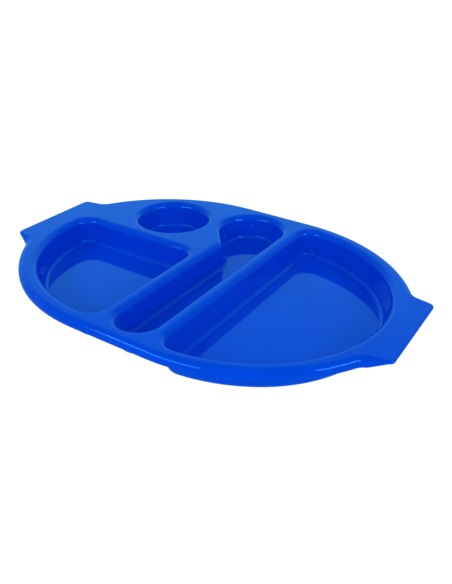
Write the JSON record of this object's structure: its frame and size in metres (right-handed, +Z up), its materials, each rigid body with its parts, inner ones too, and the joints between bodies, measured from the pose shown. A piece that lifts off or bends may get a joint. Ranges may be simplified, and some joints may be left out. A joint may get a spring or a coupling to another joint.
{
  "type": "compartment tray",
  "caption": "Oval moulded meal tray with food wells, a round cup well, a cutlery channel, a rolled-down rim and a flat handle at each end.",
  "frame": {"origin": "on the table, under the middle of the tray", "axes": "+X along the length towards the end beside the big well, +Y from the front edge to the back edge where the cup well is, +Z up"},
  "size_m": [0.375, 0.264, 0.027],
  "materials": {
    "polycarbonate": "gloss"
  },
  "bodies": {
    "root": {"tray": "polycarbonate"}
  },
  "joints": []
}
